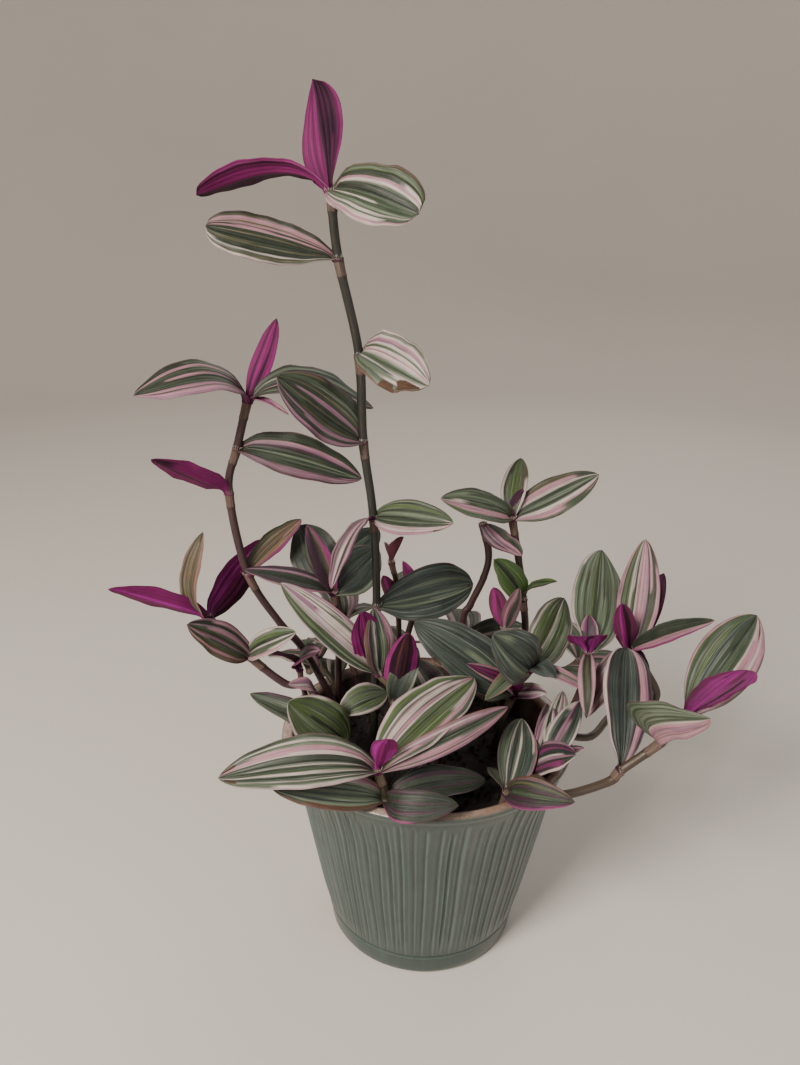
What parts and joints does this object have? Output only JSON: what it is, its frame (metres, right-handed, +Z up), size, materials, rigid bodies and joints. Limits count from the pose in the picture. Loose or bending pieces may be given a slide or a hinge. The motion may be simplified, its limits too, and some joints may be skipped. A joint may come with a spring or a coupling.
{
  "type": "potted tradescantia",
  "caption": "Trailing house plant with jointed stems and broad striped leaves, growing from soil in a round, ribbed ceramic pot with a flared rim.",
  "frame": {"origin": "middle of the pot's flat underside, where it rests", "axes": "+Z up along the pot's axis; -Y towards the viewer of the picture, where the two long striped leaves reach over the rim; +X to the viewer's right, where the long stem trails"},
  "size_m": [0.3082, 0.1981, 0.4181],
  "materials": {
    "pot_glaze": "glossy grey-green glaze outside, cream glaze inside, bare brown clay along the rim",
    "soil": "dark, crumbly potting soil, matte",
    "leafy_stem": "satin leaves striped lengthwise in green, grey-green, white and pink, with purple undersides, on brown-purple stems"
  },
  "bodies": {
    "root": {"pot": "pot_glaze", "soil": "soil", "stem_tall": "leafy_stem", "stem_left_high": "leafy_stem", "stem_left_low": "leafy_stem", "stem_left_front": "leafy_stem", "stem_left_bud": "leafy_stem", "stem_front": "leafy_stem", "stem_front_right": "leafy_stem", "stem_rim_right": "leafy_stem", "stem_right_long": "leafy_stem", "stem_right_high": "leafy_stem", "stem_right_mid": "leafy_stem", "stem_mid": "leafy_stem", "stem_back_right": "leafy_stem", "stem_small_cup": "leafy_stem", "stem_back_mid": "leafy_stem", "stem_mid_left": "leafy_stem", "stem_left_back": "leafy_stem", "stem_funnel": "leafy_stem", "stem_centre": "leafy_stem", "stem_rear_left": "leafy_stem", "stem_rear_middle": "leafy_stem", "stem_rear_right": "leafy_stem", "stem_rear_trailing": "leafy_stem", "stem_rear_low": "leafy_stem"}
  },
  "joints": []
}
